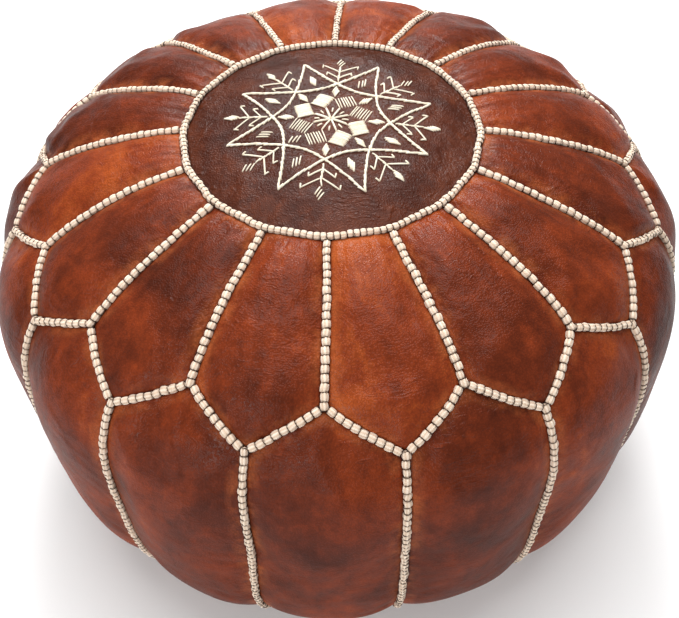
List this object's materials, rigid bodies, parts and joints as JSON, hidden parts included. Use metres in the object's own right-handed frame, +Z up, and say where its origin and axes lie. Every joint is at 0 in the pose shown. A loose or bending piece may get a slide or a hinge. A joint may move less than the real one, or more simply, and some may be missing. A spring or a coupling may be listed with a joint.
{
  "type": "leather pouf",
  "caption": "Round stuffed leather pouf: embroidered medallion top, ring of petal panels over tall side panels, raised cord seams, zipped base.",
  "frame": {"origin": "on the floor at the centre of the base", "axes": "+Z up through the medallion, -Y the front, where one radial seam faces; the zip runs along X"},
  "size_m": [0.542, 0.542, 0.3377],
  "materials": {
    "panel_leather": "burnished red-brown goatskin, mottled, satin",
    "medallion_leather": "dark brown leather, satin",
    "base_leather": "plain brown leather, low sheen",
    "cream_cord": "twisted cream cotton cord",
    "embroidery_thread": "cream silk-like thread, slight lustre",
    "dark_thread": "dark brown couching thread",
    "zip_tape": "dark brown herringbone tape",
    "brass": "worn brass",
    "lining_cotton": "plain-weave unbleached cotton",
    "stuffing": "loose cotton wadding"
  },
  "bodies": {
    "cover": {"medallion": "medallion_leather", "upper_panel_01": "panel_leather", "upper_panel_02": "panel_leather", "upper_panel_03": "panel_leather", "upper_panel_04": "panel_leather", "upper_panel_05": "panel_leather", "upper_panel_06": "panel_leather", "upper_panel_07": "panel_leather", "upper_panel_08": "panel_leather", "upper_panel_09": "panel_leather", "upper_panel_10": "panel_leather", "upper_panel_11": "panel_leather", "upper_panel_12": "panel_leather", "upper_panel_13": "panel_leather", "upper_panel_14": "panel_leather", "upper_panel_15": "panel_leather", "upper_panel_16": "panel_leather", "side_panel_01": "panel_leather", "side_panel_02": "panel_leather", "side_panel_03": "panel_leather", "side_panel_04": "panel_leather", "side_panel_05": "panel_leather", "side_panel_06": "panel_leather", "side_panel_07": "panel_leather", "side_panel_08": "panel_leather", "side_panel_09": "panel_leather", "side_panel_10": "panel_leather", "side_panel_11": "panel_leather", "side_panel_12": "panel_leather", "side_panel_13": "panel_leather", "side_panel_14": "panel_leather", "side_panel_15": "panel_leather", "side_panel_16": "panel_leather", "base_panel_front": "base_leather", "base_panel_back": "base_leather", "lining": "lining_cotton", "stuffing": "stuffing", "medallion_seam": "cream_cord", "upper_seams": "cream_cord", "side_seams": "cream_cord", "star_embroidery": "embroidery_thread", "flower_embroidery": "embroidery_thread", "branch_embroidery_01": "embroidery_thread", "branch_embroidery_02": "embroidery_thread", "branch_embroidery_03": "embroidery_thread", "branch_embroidery_04": "embroidery_thread", "branch_embroidery_05": "embroidery_thread", "branch_embroidery_06": "embroidery_thread", "branch_embroidery_07": "embroidery_thread", "branch_embroidery_08": "embroidery_thread", "zip_tape_front": "zip_tape", "zip_tape_back": "zip_tape", "zip_teeth_front": "brass", "zip_teeth_back": "brass", "zip_top_stop_front": "brass", "zip_top_stop_back": "brass", "zip_bottom_stop": "brass"},
    "slider": {"zip_slider": "brass"},
    "pull_tab": {"zip_pull_tab": "brass"}
  },
  "joints": [
    {"name": "zip_slide", "type": "slide", "parent": "cover", "child": "slider", "axis": [-1, 0, 0], "range_m": [0, 0.3032]},
    {"name": "pull_tab_hinge", "type": "hinge", "parent": "slider", "child": "pull_tab", "pos_m": [0.1516, 0, 0.00385], "axis": [0, -1, 0], "range_deg": [0, 180]}
  ]
}
